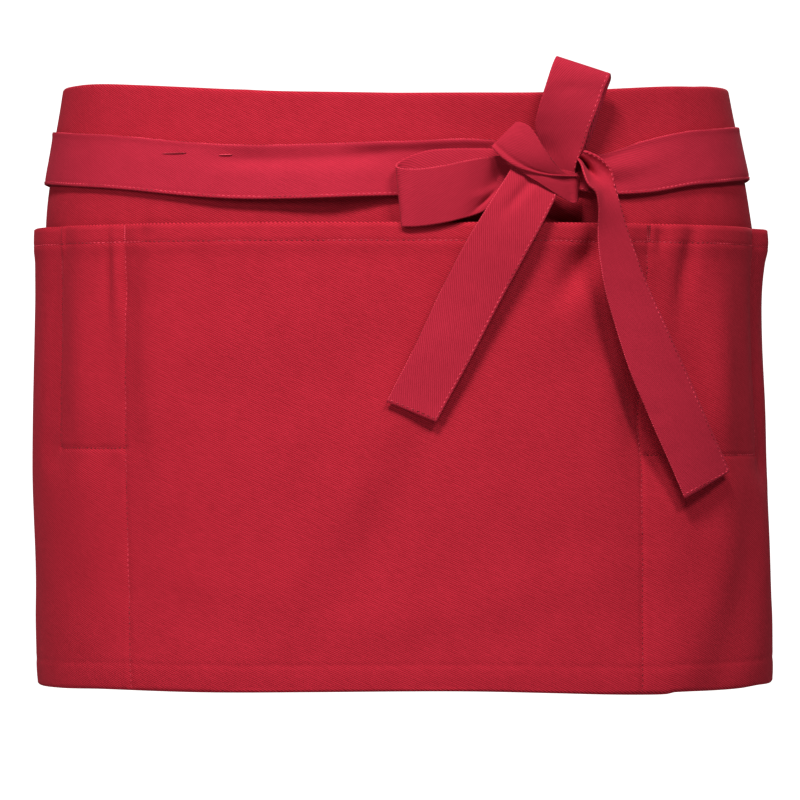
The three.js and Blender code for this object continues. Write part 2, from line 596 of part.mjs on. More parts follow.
add('waistband', makeWaistband(), 0xb32538, TWILL_ROUGHNESS);
add('skirt_panel', makeSkirt(), 0xa92234, TWILL_ROUGHNESS);
add('pocket_panel', makePocket(), 0xb52739, TWILL_ROUGHNESS);
add('tie_left', makeTie(TIE_LEFT_ROUTE, LEFT_BEHIND, 1), 0xba2a3d);
add('tie_right', makeTie(TIE_RIGHT_ROUTE, RIGHT_BEHIND, -1), 0xb62839);
add('bow_loop_left', makeRibbon(LEFT_LOOP, LOOP_REACH, clearOfPocket), 0xb52638);
add('bow_loop_up', makeRibbon(UP_LOOP, UP_LOOP_REACH), 0xba2a3e);
add('tail_left', makeRibbon(LEFT_TAIL, LEFT_TAIL_REACH, clearOfPocket), 0xba2a3e);
add('tail_right', makeRibbon(RIGHT_TAIL, RIGHT_TAIL_REACH, clearOfPocket), 0xae2436);
add('knot_wrap', makeRibbon(WRAP, TIE_WIDTH), 0xbe2c40);
add('knot_lower', makeRibbon(LOWER, TIE_WIDTH), 0xb62839);

export default group;
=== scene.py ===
# A short waist apron of red twill, as it hangs on a body, with its ties in a bow right of centre.
# Lengths are millimetres up to the point where a mesh is made, and +Z is up.
import math

import bpy
import numpy as np
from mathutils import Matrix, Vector


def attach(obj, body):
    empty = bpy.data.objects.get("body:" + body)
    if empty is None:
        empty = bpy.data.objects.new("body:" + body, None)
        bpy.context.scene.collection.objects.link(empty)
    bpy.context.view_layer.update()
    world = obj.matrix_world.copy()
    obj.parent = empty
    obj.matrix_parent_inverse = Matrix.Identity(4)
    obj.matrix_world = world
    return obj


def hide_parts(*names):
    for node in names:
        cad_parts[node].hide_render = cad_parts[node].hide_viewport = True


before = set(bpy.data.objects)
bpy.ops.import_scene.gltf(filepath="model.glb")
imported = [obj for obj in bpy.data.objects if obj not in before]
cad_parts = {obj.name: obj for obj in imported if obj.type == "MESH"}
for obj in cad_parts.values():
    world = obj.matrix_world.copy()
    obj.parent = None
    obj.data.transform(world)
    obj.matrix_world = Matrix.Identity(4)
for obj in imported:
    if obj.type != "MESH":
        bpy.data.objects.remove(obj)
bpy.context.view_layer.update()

# Camera: level, in front of the apron
CAMERA_AWAY = 3.128
CAMERA_HEIGHT = -0.156
CAMERA_LENS = 246.35
CAMERA_SHIFT = 21 / 800
camera = bpy.data.objects.new("camera", bpy.data.cameras.new("camera"))
camera.location = (0.0, -CAMERA_AWAY, CAMERA_HEIGHT)
camera.rotation_euler = (math.radians(90), 0.0, 0.0)
camera.data.sensor_width = 36.0
camera.data.lens = CAMERA_LENS
camera.data.shift_y = CAMERA_SHIFT
bpy.context.scene.collection.objects.link(camera)
bpy.context.scene.camera = camera

# Cloth
CLOTH = 1.0
TIE_CLOTH = 1.2
CLEARANCE = 0.4
TIE_CLEARANCE = 0.5

# Main sizes
APRON_HEIGHT = 330
BAND_HEIGHT = 48
BAND_RISE = 9
RISE_START = 60
RISE_LENGTH = 140
SKIRT_WIDTH = 880
HIP_HALF_WIDTH = 204
RING_DEPTH = 0.63
RING_SQUARENESS = 2.4

# Pockets
MOUTH_DROP = 71
MOUTH_HEM = 10
MOUTH_HEM_CLOTH = 1.8
BOTTOM_HEM = 15
DIVIDER_LEFT = 155
DIVIDER_RIGHT = 141
DIVIDER_RIGHT_SLANT = 8
OUTER_LEFT = 207
OUTER_RIGHT = 239
SMALL_POCKET_LEFT = 124
SMALL_POCKET_RIGHT = 128
SEAM_REACH = 13
CENTRE_FULLNESS = 5.5
SMALL_FULLNESS = 1.6
SIDE_FULLNESS_LEFT = 4.1
SIDE_FULLNESS_RIGHT = 7
SEAM_END_SOFTNESS = 60
SEAM_END_DROP = 30
SEAM_STEP = 2
# Shares of the fullness that are lost on the way down to the hem
CENTRE_LOSS = 0.75
CENTRE_LOSS_ENDS = 0.75
SIDE_LOSS_LEFT = 0.5
SIDE_LOSS_RIGHT = 0.6
HEM_EASE = 45

# Ties and bow
TIE_WIDTH = 30
TIE_SEWN = 20

# Stitches
STITCH_PITCH = 2.9
STITCH_LENGTH = 2.1
THREAD = 0.31

# Heights and lifts that follow from the sizes
TOP = BAND_HEIGHT / 2
HEM = TOP - APRON_HEIGHT
MOUTH = TOP - MOUTH_DROP
REAR = SKIRT_WIDTH / 2
LAYER = CLOTH + CLEARANCE
TIE_LIFT = LAYER + CLOTH / 2 + TIE_CLEARANCE + TIE_CLOTH / 2
TIE_LAYER = TIE_CLOTH + CLEARANCE
FOLD_HEIGHT = LAYER + CLOTH / 2

# The ring from the waist to the hem: share of the height, half-width and sway as shares of the hip
RING = np.array([
    (0, 0.926, -0.011),
    (0.18, 0.978, -0.006),
    (0.35, 0.983, -0.006),
    (0.62, 0.998, -0.004),
    (0.83, 1.002, 0.005),
    (1, 1.018, 0.011),
])

# Upright folds: place and width as shares of the half cloth width, depth as a share of the cloth,
# first and last height as shares of the apron's height
FOLDS = [
    (-0.386, 0.028, -1.3, 0.2, 0.8),
    (-0.318, 0.026, 1.2, 0.2, 0.72),
    (0.374, 0.03, -1.6, 0.2, 0.66),
    (0.43, 0.03, 1.5, 0.2, 0.7),
    (0.4, 0.05, -1.2, 0.55, 1.15),
    (0.6, 0.07, 1.4, 0.85, 1.2),
    (-0.68, 0.07, 1.2, 0.5, 1.2),
]

# How far the top edge and the hem stand above their even lines: place along the cloth, rise
TOP_RISE = np.array([
    (-260, 0), (-200, -0.4), (-150, 0.3), (-110, 1.4), (-82, 1.9), (-53, 1.2), (0, 0.3),
    (66, 0.5), (120, 0), (155, -0.8), (178, -1.5), (210, -0.8), (260, 0),
])
HEM_RISE = np.array([
    (-330, 0), (-210, 0.5), (-175, 1.2), (-110, 0.7), (-50, 1.3), (0, 1.8), (40, 1.7), (84, 0.5),
    (112, -0.5), (135, -1), (149, -0.9), (154, 0), (185, 0.1), (205, 0.5), (230, 1.5), (330, 0),
])
HEM_RISE_HEIGHT = 45

# The top of the waistband leans out above the knot
BAND_LEAN = 7
BAND_LEAN_AT = 72
BAND_LEAN_WIDTH = 62
# and a little left of the middle. It starts this far below the middle of the band
BAND_LEAN_REST = 3.5
BAND_LEAN_REST_AT = -70
BAND_LEAN_REST_WIDTH = 110
BAND_LEAN_START = 8


def lerp(a, b, t):
    return a + (b - a) * t


def smooth(t):
    c = np.clip(t, 0, 1)
    return c * c * (3 - 2 * c)


def bump(x, middle, wide):
    return np.exp(-(((x - middle) / wide) ** 2))


def curve(xs, values, x):
    """A smooth curve through the points (xs, values), at x."""
    xs = np.asarray(xs, float)
    values = np.asarray(values, float)
    x = np.asarray(x, float)
    last = len(xs) - 1
    i = np.searchsorted(xs[1:last], x)
    before = np.maximum(i - 1, 0)
    after = np.minimum(i + 2, last)
    span = xs[i + 1] - xs[i]
    t = (x - xs[i]) / span
    into = (values[i + 1] - values[before]) / (xs[i + 1] - xs[before]) * span
    out = (values[after] - values[i]) / (xs[after] - xs[i]) * span
    t2 = t * t
    t3 = t2 * t
    inside = (values[i] * (2 * t3 - 3 * t2 + 1) + into * (t3 - 2 * t2 + t)
              + values[i + 1] * (3 * t2 - 2 * t3) + out * (t3 - t2))
    return np.where(t < 0, values[i] + into * t,
                    np.where(t > 1, values[i + 1] + out * (t - 1), inside))


def noise(x, y, seed):
    """Smooth noise from -1 to 1, with one random value on each whole number."""
    x, y = np.broadcast_arrays(np.asarray(x, float), np.asarray(y, float))
    ix = np.floor(x)
    iy = np.floor(y)
    fx = smooth(x - ix)
    fy = smooth(y - iy)

    def corner(a, b):
        value = np.sin(a * 127.1 + b * 311.7 + seed * 74.7) * 43758.5453
        return (value - np.floor(value)) * 2 - 1

    low = lerp(corner(ix, iy), corner(ix + 1, iy), fx)
    high = lerp(corner(ix, iy + 1), corner(ix + 1, iy + 1), fx)
    return lerp(low, high, fy)


# One quarter of the ring with half-width 1, by its arc length
QUARTER_POINTS = 2001
TANGENT_STEP = 0.006
angles = np.linspace(0, math.pi / 2, QUARTER_POINTS)
QUARTER_X = np.sin(angles) ** (2 / RING_SQUARENESS)
QUARTER_Y = -RING_DEPTH * np.maximum(np.cos(angles), 0) ** (2 / RING_SQUARENESS)
steps = np.hypot(np.diff(QUARTER_X), np.diff(QUARTER_Y))
QUARTER_S = np.concatenate([[0], np.cumsum(steps)])
QUARTER_LENGTH = QUARTER_S[-1]


def ring_point(length):
    whole = 4 * QUARTER_LENGTH
    turned = np.mod(length, whole)
    side = np.where(turned > whole / 2, -1.0, 1.0)
    half = np.where(side > 0, turned, whole - turned)
    behind = half > QUARTER_LENGTH
    s = np.where(behind, 2 * QUARTER_LENGTH - half, half)
    x = np.interp(s, QUARTER_S, QUARTER_X)
    y = np.interp(s, QUARTER_S, QUARTER_Y)
    return side * x, np.where(behind, -y, y)


def half_width(z):
    return HIP_HALF_WIDTH * curve(RING[:, 0], RING[:, 1], (TOP - z) / APRON_HEIGHT)


def half_ring(z):
    return 2 * QUARTER_LENGTH * half_width(z)


def band_top(round_):
    rise = np.interp(round_, TOP_RISE[:, 0], TOP_RISE[:, 1])
    return TOP + BAND_RISE * smooth((np.abs(round_) - RISE_START) / RISE_LENGTH) + rise


def fold_lift(round_, z):
    share = round_ / REAR
    down = (TOP - z) / APRON_HEIGHT
    lift = 0
    for middle, wide, deep, first, last in FOLDS:
        reach = smooth(1 - np.abs(down - (first + last) / 2) / ((last - first) / 2))
        lift = lift + deep * CLOTH * bump(share, middle, wide) * reach
    lean = BAND_LEAN * bump(round_, BAND_LEAN_AT, BAND_LEAN_WIDTH) \
        + BAND_LEAN_REST * bump(round_, BAND_LEAN_REST_AT, BAND_LEAN_REST_WIDTH)
    return lift + lean * smooth((z + BAND_LEAN_START) / BAND_HEIGHT)


def place(round_, z, lift):
    """A point of the apron from its place along the cloth, its height and its distance outward."""
    round_, z, lift = np.broadcast_arrays(*(np.asarray(v, float) for v in (round_, z, lift)))
    rise = curve(HEM_RISE[:, 0], HEM_RISE[:, 1], np.clip(round_, HEM_RISE[0, 0], HEM_RISE[-1, 0]))
    z = z + rise * smooth((HEM + HEM_RISE_HEIGHT - z) / HEM_RISE_HEIGHT)
    half = half_width(z)
    x, y = ring_point(round_ / half)
    x0, y0 = ring_point(round_ / half - TANGENT_STEP)
    x1, y1 = ring_point(round_ / half + TANGENT_STEP)
    size = np.hypot(x1 - x0, y1 - y0)
    out = lift + fold_lift(round_, z)
    sway = HIP_HALF_WIDTH * curve(RING[:, 0], RING[:, 2], (TOP - z) / APRON_HEIGHT)
    return np.stack([half * x + sway + out * (y1 - y0) / size,
                     half * y - out * (x1 - x0) / size, z], axis=-1)


def unit(v):
    return v / np.maximum(np.linalg.norm(v, axis=-1, keepdims=True), 1e-9)


# Seams that hold the pocket down on the skirt, from one point of the cloth to another
SEAMS = [
    (-DIVIDER_LEFT, MOUTH, -DIVIDER_LEFT, HEM),
    (DIVIDER_RIGHT, MOUTH, DIVIDER_RIGHT - DIVIDER_RIGHT_SLANT, HEM),
    (-OUTER_LEFT, MOUTH, -OUTER_LEFT, MOUTH - SMALL_POCKET_LEFT),
    (OUTER_RIGHT, MOUTH, OUTER_RIGHT, MOUTH - SMALL_POCKET_RIGHT),
    (-OUTER_LEFT, MOUTH - SMALL_POCKET_LEFT, -DIVIDER_LEFT, MOUTH - SMALL_POCKET_LEFT),
    (DIVIDER_RIGHT, MOUTH - SMALL_POCKET_RIGHT, OUTER_RIGHT, MOUTH - SMALL_POCKET_RIGHT),
    (-REAR, MOUTH, -REAR, HEM),
    (REAR, MOUTH, REAR, HEM),
]


def seam_distance(seam, round_, z):
    ax, az, bx, bz = seam
    dx, dz = bx - ax, bz - az
    t = np.clip(((round_ - ax) * dx + (z - az) * dz) / (dx * dx + dz * dz), 0, 1)
    return np.hypot(round_ - ax - t * dx, z - az - t * dz)


def fullness(round_, z):
    down = (MOUTH - z) / (MOUTH - HEM)
    full = np.full(np.broadcast(round_, z).shape, float(SMALL_FULLNESS))
    centre = (round_ > -DIVIDER_LEFT) & (round_ < DIVIDER_RIGHT)
    full = np.where(centre, CENTRE_FULLNESS * (1 - CENTRE_LOSS * smooth(down / CENTRE_LOSS_ENDS)), full)
    # Below the outer seams the small and the side pocket run into each other softly
    run_in = SEAM_STEP + SEAM_END_SOFTNESS * smooth((MOUTH - SMALL_POCKET_LEFT - z) / SEAM_END_DROP)
    left = SIDE_FULLNESS_LEFT * (1 - SIDE_LOSS_LEFT * smooth(down))
    right = SIDE_FULLNESS_RIGHT * (1 - SIDE_LOSS_RIGHT * smooth(down))
    full = lerp(full, left, smooth(0.5 + (-OUTER_LEFT - round_) / run_in))
    return lerp(full, right, smooth(0.5 + (round_ - OUTER_RIGHT) / run_in))


def pocket_cloth(z):
    return lerp(CLOTH, MOUTH_HEM_CLOTH, smooth((z - MOUTH + 2 * MOUTH_HEM) / MOUTH_HEM))


def pocket_lift(round_, z):
    held = smooth((z - HEM) / HEM_EASE)
    for seam in SEAMS:
        near = seam_distance(seam, round_, z) / SEAM_REACH
        held = held * (1 - np.exp(-near * near))
    return LAYER + (pocket_cloth(z) - CLOTH) / 2 + fullness(round_, z) * held


# Dents and swells of skirt and pocket together: place along the cloth and height of the middle,
# slant in degrees from level, half length, half width, depth
DENTS = [
    (101, -70, 56, 22, 8, -6.5),
    (122, -113, 111, 42, 11, -5),
    (-141, -52, 90, 6, 3.5, -1.6),
    (149, -55, 90, 8, 3.5, -2.2),
    (-166.7, -72, 88, 22, 2.6, -1.9),
    (-160.5, -78, 90, 24, 4, 1.5),
    (-154.5, -82, 90, 11, 2.2, -1),
    (-187, -115, 90, 62, 14, 1.8),
    (-204, -56, 90, 8, 2.5, 1.3),
    (166.3, -70, 80, 26, 5, -3.5),
    (190, -148, 90, 66, 15, 2.8),
    (142, -161, 115, 32, 12, -6),
    (258, -55, 90, 14, 18, 1.6),
    (258, -103, 90, 30, 18, -2.2),
    (236, -228, 90, 48, 22, 2.6),
]
# Soft turns of the cloth, out on the upper side and in on the lower side of the line
TURNS = [
    (-19, -205, 59, 85, 20, 3),
    (108, -100, 40, 40, 22, 2.6),
    (-60, -120, 20, 70, 25, 1.4),
    (60, -262, 12, 90, 16, 1.2),
    (-110, -255, -8, 60, 18, 1),
    (196, -192, 6, 42, 20, 1),
    (190, -262, 66, 80, 20, 3.6),
]
HEM_BEND = 1.1
HEM_BEND_HEIGHT = 13


def dents(round_, z):
    lift = -HEM_BEND * np.clip((HEM + HEM_BEND_HEIGHT - z) / HEM_BEND_HEIGHT, 0, 1.2) ** 2
    for row, (middle, height, slant, long, wide, deep) in enumerate(DENTS + TURNS):
        turn = math.radians(slant)
        run = ((round_ - middle) * math.cos(turn) + (z - height) * math.sin(turn)) / long
        across = ((z - height) * math.cos(turn) - (round_ - middle) * math.sin(turn)) / wide
        shape = 1 if row < len(DENTS) else across
        lift = lift + deep * shape * np.exp(-run * run - across * across)
    return lift


def ease(at, across, seed, pitch=9.0, reach=5.0):
    """Small waves of cloth that is drawn up along a seam."""
    wave = noise(at / pitch, across / 30.0, seed) + 0.5 * noise(at / (pitch * 0.45), 0.0, seed + 1)
    return wave * np.exp(-np.abs(across) / reach)


# Grooves of the seams, the mouth's stitches and the hem's edge: depth, half width, drawn-up cloth
SEAM_GROOVE = (0.55, 1.5, 0.32)
MOUTH_GROOVE = (0.3, 1.1, 0.24)
HEM_GROOVE = (0.2, 1.6, 0.1)


def pocket_face(round_, z):
    """Middle of the pocket's outer cloth, with the dents of its seams."""
    lift = pocket_lift(round_, z)
    for k, seam in enumerate(SEAMS[:6]):
        away = seam_distance(seam, round_, z)
        at = z if seam[0] == seam[2] or k == 1 else round_
        deep, wide, drawn = SEAM_GROOVE
        lift = lift - deep * np.exp(-(away / wide) ** 2)
        lift = lift + drawn * ease(at, away, 10 + k)
    stitch = MOUTH - MOUTH_HEM
    deep, wide, drawn = MOUTH_GROOVE
    lift = lift - deep * bump(z, stitch, wide)
    lift = lift + drawn * ease(round_, z - stitch, 30, 7.0, 5.0)
    deep, wide, drawn = HEM_GROOVE
    lift = lift - deep * bump(z, HEM + BOTTOM_HEM, wide)
    lift = lift + drawn * ease(round_, z - HEM - BOTTOM_HEM, 40, 16.0, 7.0)
    lift = lift + 0.5 * noise(round_ / 70, z / 90, 3) + 0.16 * noise(round_ / 22, z / 45, 4)
    return place(round_, z, lift + dents(round_, z))


def stations(marks, coarse, fine, reach):
    """Places from the first mark to the last: fine steps near the inner marks, coarse between."""
    first, last = marks[0], marks[-1]
    places = [first]
    while places[-1] < last:
        near = min((abs(places[-1] - m) for m in marks[1:-1]), default=coarse * 100)
        places.append(places[-1] + lerp(fine, coarse, float(smooth((near - reach) / (3 * reach)))))
    places[-1] = last
    return np.array(places)


ROUND_MARKS = [-REAR, -OUTER_LEFT, -DIVIDER_LEFT, DIVIDER_RIGHT - DIVIDER_RIGHT_SLANT / 2,
               OUTER_RIGHT, REAR]
ROUND = stations(ROUND_MARKS, 3.2, 1.1, 5.0)


# Meshes
def make_mesh(name, points, quads, weave=None, smooth_faces=True):
    mesh = bpy.data.meshes.new(name)
    mesh.from_pydata((points * 0.001).tolist(), [], quads.tolist())
    if weave is not None:
        layer = mesh.attributes.new("weave", "FLOAT_VECTOR", "POINT")
        layer.data.foreach_set("vector", weave.astype(np.float32).ravel())
    if smooth_faces:
        mesh.shade_smooth()
    mesh.validate()
    obj = bpy.data.objects.new(name, mesh)
    bpy.context.scene.collection.objects.link(obj)
    return obj


def turned_out(points, quads):
    """The faces, turned round if they face inwards."""
    a, b, c, d = (points[quads[:, k]] for k in range(4))
    volume = np.einsum("ij,ij->i", a, np.cross(b, c)).sum() + np.einsum("ij,ij->i", a, np.cross(c, d)).sum()
    return quads if volume > 0 else quads[:, ::-1]


def cloth_mesh(name, grid, weave, thick):
    """A closed sheet with soft edges about a grid of points."""
    rows, columns = grid.shape[:2]
    thick = np.broadcast_to(thick, (rows, columns))[..., None]
    du = np.gradient(grid, axis=0)
    dv = np.gradient(grid, axis=1)
    normal = unit(np.cross(du, dv))
    body = grid.copy()
    inset = 0.33 * thick
    body[0] += inset[0] * unit(du[0])
    body[-1] -= inset[-1] * unit(du[-1])
    body[:, 0] += inset[:, 0] * unit(dv[:, 0])
    body[:, -1] -= inset[:, -1] * unit(dv[:, -1])
    outer = body + normal * thick / 2
    inner = body - normal * thick / 2
    size = rows * columns
    points = [outer.reshape(-1, 3), inner.reshape(-1, 3)]
    index = np.arange(size).reshape(rows, columns)
    a, b = index, index + size
    # The rim is one closed loop of points on the very edge of the sheet
    loop = np.concatenate([index[0, :], index[1:, -1], index[-1, -2::-1], index[-2:0:-1, 0]])
    rim = np.arange(len(loop)) + 2 * size
    points.append(grid.reshape(-1, 3)[loop])
    quads = [
        np.stack([a[:-1, :-1], a[1:, :-1], a[1:, 1:], a[:-1, 1:]], -1).reshape(-1, 4),
        np.stack([b[:-1, :-1], b[:-1, 1:], b[1:, 1:], b[1:, :-1]], -1).reshape(-1, 4),
    ]
    nxt = np.roll(loop, -1)
    rim_next = np.roll(rim, -1)
    quads.append(np.stack([loop, nxt, rim_next, rim], -1))
    quads.append(np.stack([rim, rim_next, nxt + size, loop + size], -1))
    points = np.concatenate(points)
    quads = np.concatenate(quads)
    flat = weave.reshape(-1, 3)
    return make_mesh(name, points, turned_out(points, quads), np.concatenate([flat, flat, flat[loop]]))


# Materials
def node(tree, kind, **values):
    made = tree.nodes.new(kind)
    for key, value in values.items():
        if hasattr(made, key):
            setattr(made, key, value)
        else:
            made.inputs[key.replace("_", " ")].default_value = value
    return made


def maths(tree, operation, a, b=None):
    made = tree.nodes.new("ShaderNodeMath")
    made.operation = operation
    for socket, value in zip(made.inputs, (a, b)):
        if value is None:
            continue
        if isinstance(value, (int, float)):
            socket.default_value = value
        else:
            tree.links.new(value, socket)
    return made.outputs[0]


def twill_material(name, dark, pale, slope=-26.0, pitch=1.02, line=0.4, roughness=0.86):
    """Twill: fine slanting lines, uneven yarn and soft patches, all in millimetres of cloth."""
    material = bpy.data.materials.new(name)
    material.use_nodes = True
    tree = material.node_tree
    shader = tree.nodes["Principled BSDF"]
    weave = node(tree, "ShaderNodeAttribute", attribute_name="weave")
    parts = node(tree, "ShaderNodeSeparateXYZ")
    tree.links.new(weave.outputs["Vector"], parts.inputs[0])
    along_, up = parts.outputs[0], parts.outputs[1]
    angle = math.radians(slope)
    across = maths(tree, "ADD", maths(tree, "MULTIPLY", along_, -math.sin(angle)),
                   maths(tree, "MULTIPLY", up, math.cos(angle)))
    length = maths(tree, "ADD", maths(tree, "MULTIPLY", along_, math.cos(angle)),
                   maths(tree, "MULTIPLY", up, math.sin(angle)))
    # Streaks run with the lines: long in one direction, narrow in the other
    vector = node(tree, "ShaderNodeCombineXYZ")
    tree.links.new(maths(tree, "MULTIPLY", length, 0.16), vector.inputs[0])
    tree.links.new(maths(tree, "MULTIPLY", across, 0.85), vector.inputs[1])
    streak = node(tree, "ShaderNodeTexNoise", Scale=1.0, Detail=3.0, Roughness=0.65)
    tree.links.new(vector.outputs[0], streak.inputs["Vector"])
    # Yarn unevenness moves the lines a little
    shifted = maths(tree, "ADD", across, maths(tree, "MULTIPLY", streak.outputs[0], 0.35))
    ridge = maths(tree, "SINE", maths(tree, "MULTIPLY", shifted, 2 * math.pi / pitch))
    yarn = maths(tree, "SINE", maths(tree, "MULTIPLY", length, 2 * math.pi / (pitch * 1.25)))
    height = maths(tree, "ADD", ridge, maths(tree, "MULTIPLY", maths(tree, "MULTIPLY", yarn, ridge), 0.5))
    patches = node(tree, "ShaderNodeTexNoise", Scale=0.045, Detail=4.0, Roughness=0.6)
    tree.links.new(weave.outputs["Vector"], patches.inputs["Vector"])
    tone = maths(tree, "ADD",
                 maths(tree, "MULTIPLY", maths(tree, "SUBTRACT", streak.outputs[0], 0.5), 0.45),
                 maths(tree, "MULTIPLY", maths(tree, "SUBTRACT", patches.outputs[0], 0.5), 0.25))
    tone = maths(tree, "ADD", maths(tree, "ADD", tone, maths(tree, "MULTIPLY", ridge, line)), 0.5)
    mix = node(tree, "ShaderNodeMix", data_type="RGBA", clamp_factor=True)
    tree.links.new(tone, mix.inputs["Factor"])
    mix.inputs[6].default_value = (*dark, 1.0)
    mix.inputs[7].default_value = (*pale, 1.0)
    tree.links.new(mix.outputs[2], shader.inputs["Base Color"])
    raised = node(tree, "ShaderNodeBump", Strength=0.4, Distance=0.0001)
    fuzz = node(tree, "ShaderNodeTexNoise", Scale=2.2, Detail=3.0, Roughness=0.7)
    tree.links.new(weave.outputs["Vector"], fuzz.inputs["Vector"])
    relief = maths(tree, "ADD", height, maths(tree, "MULTIPLY", fuzz.outputs[0], 1.4))
    tree.links.new(relief, raised.inputs["Height"])
    tree.links.new(raised.outputs[0], shader.inputs["Normal"])
    rough = maths(tree, "ADD", maths(tree, "MULTIPLY", fuzz.outputs[0], 0.1), roughness - 0.05)
    tree.links.new(rough, shader.inputs["Roughness"])
    shader.inputs["Specular IOR Level"].default_value = 0.12
    shader.inputs["Sheen Weight"].default_value = 0.06
    shader.inputs["Sheen Roughness"].default_value = 0.45
    shader.inputs["Sheen Tint"].default_value = (1.0, 0.35, 0.4, 1.0)
    return material


TWILL = twill_material("red_twill", (0.25, 0.0083, 0.0167), (0.58, 0.0327, 0.0622))
TIE_TWILL = twill_material("tie_red_twill", (0.315, 0.015, 0.032), (0.52, 0.0335, 0.0675),
                           slope=62.0, pitch=1.0, line=0.34)


def weave_of(u, v, w=0.0):
    return np.stack(np.broadcast_arrays(u, v, w), axis=-1).astype(float)


# Rows of the meshes: a leaf and the fold of the band, the skirt, the fold and the turned-up hem
LEAF_ROWS = 22
BAND_FOLD_ROWS = 9
SKIRT_ROWS = 70
HEM_FOLD_ROWS = 8
HEM_ROWS = 7


def waistband():
    """A strip folded over the skirt's top edge."""
    turn = np.linspace(0, math.pi, BAND_FOLD_ROWS)[1:-1]
    round_ = ROUND[:, None]
    edge = band_top(round_) - FOLD_HEIGHT
    low = band_top(round_) - BAND_HEIGHT
    leaf = np.linspace(0, 1, LEAF_ROWS)
    z = np.concatenate([low + (edge - low) * leaf,
                        edge + LAYER * np.sin(turn),
                        edge + (low - edge) * leaf], axis=1)
    lift = np.concatenate([np.full((1, LEAF_ROWS), LAYER), LAYER * np.cos(turn)[None, :],
                           np.full((1, LEAF_ROWS), -LAYER)], axis=1)
    lift = np.broadcast_to(lift, z.shape)
    size = BAND_HEIGHT - FOLD_HEIGHT
    run = np.concatenate([leaf * size, size + turn * LAYER, size * 2 + math.pi * LAYER - (1 - leaf) * size])
    softness = 0.18 * noise(round_ / 30, z / 40, 7)
    grid = place(round_, z, lift + softness)
    return cloth_mesh("waistband_cloth", grid, weave_of(round_, run[None, :], 40.0), CLOTH)


def skirt():
    round_ = ROUND[::2] if len(ROUND) % 2 else np.append(ROUND[::2], ROUND[-1])
    round_ = round_[:, None]
    edge = band_top(round_) - FOLD_HEIGHT
    share = np.linspace(0, 1, SKIRT_ROWS)[None, :]
    z = edge + (HEM + FOLD_HEIGHT - edge) * share
    lift = 0.15 * noise(round_ / 40, z / 50, 9) * smooth((TOP - BAND_HEIGHT - z) / 20)
    lift = lift + dents(round_, z)
    return cloth_mesh("skirt_panel_cloth", place(round_, z, lift), weave_of(round_, z, 80.0), CLOTH)


def pocket():
    edge = HEM + FOLD_HEIGHT
    marks = [-MOUTH, -MOUTH + MOUTH_HEM, SMALL_POCKET_LEFT - MOUTH, SMALL_POCKET_RIGHT - MOUTH,
             -HEM - BOTTOM_HEM, -edge]
    heights = -stations(marks, 3.6, 0.9, 3.0)
    round_ = ROUND[:, None]
    face = pocket_face(round_, heights[None, :])
    turn = np.linspace(0, math.pi, HEM_FOLD_ROWS)[1:-1]
    back = np.linspace(0, 1, HEM_ROWS)
    fold_z = (edge - LAYER * np.sin(turn))[None, :]
    fold = place(round_, fold_z, (LAYER * np.cos(turn))[None, :] + dents(round_, fold_z))
    inside_z = (edge + BOTTOM_HEM * back)[None, :]
    inside = place(round_, inside_z, dents(round_, inside_z) - LAYER)
    grid = np.concatenate([face, fold, inside], axis=1)
    run = np.concatenate([heights, edge - LAYER * turn, edge - LAYER * math.pi - BOTTOM_HEM * back])
    thick = np.concatenate([pocket_cloth(heights), np.full(len(turn) + len(back), CLOTH)])
    return cloth_mesh("pocket_panel_cloth", grid, weave_of(round_, run[None, :], 0.0), thick[None, :])


# Ties: share of the half cloth width, middle height and width as shares of the tie's width, layers
TIE_LEFT_ROUTE = np.array([
    (-1, -0.47, 1, 1),
    (-0.94, -0.4, 1, 1),
    (-0.9, -0.34, 1, 0),
    (-0.6, -0.22, 1, 0),
    (-0.4, -0.37, 1, 0),
    (-0.2, -0.63, 1, 0),
    (0, -0.58, 1, 0),
    (0.11, -0.56, 1, 0),
    (0.187, -0.63, 0.8, 0),
])
TIE_RIGHT_ROUTE = np.array([
    (-1, -0.47, 1, 1),
    (-0.94, -0.4, 1, 1),
    (-0.9, -0.34, 1, 0),
    (-0.6, -0.14, 1, 0),
    (-0.4, -0.3, 1.02, 0),
    (-0.32, -0.5, 0.98, 0),
    (-0.26, -0.66, 0.74, 0),
    (-0.212, -0.66, 0.55, 0),
])
# Behind: share of the open back that is crossed, height as a share of the tie's width, layers
LEFT_BEHIND = np.array([
    (0, -0.47, 1),
    (0.15, -0.6, 1),
    (0.3, -0.59, 1),
    (0.5, 0, 1),
    (0.7, 0.59, 1),
    (0.83, 0.6, 0),
    (1, 0.3, 0),
])
RIGHT_BEHIND = LEFT_BEHIND.copy()
RIGHT_BEHIND[:, 2] = (RIGHT_BEHIND[:, 0] < 0.2).astype(float)


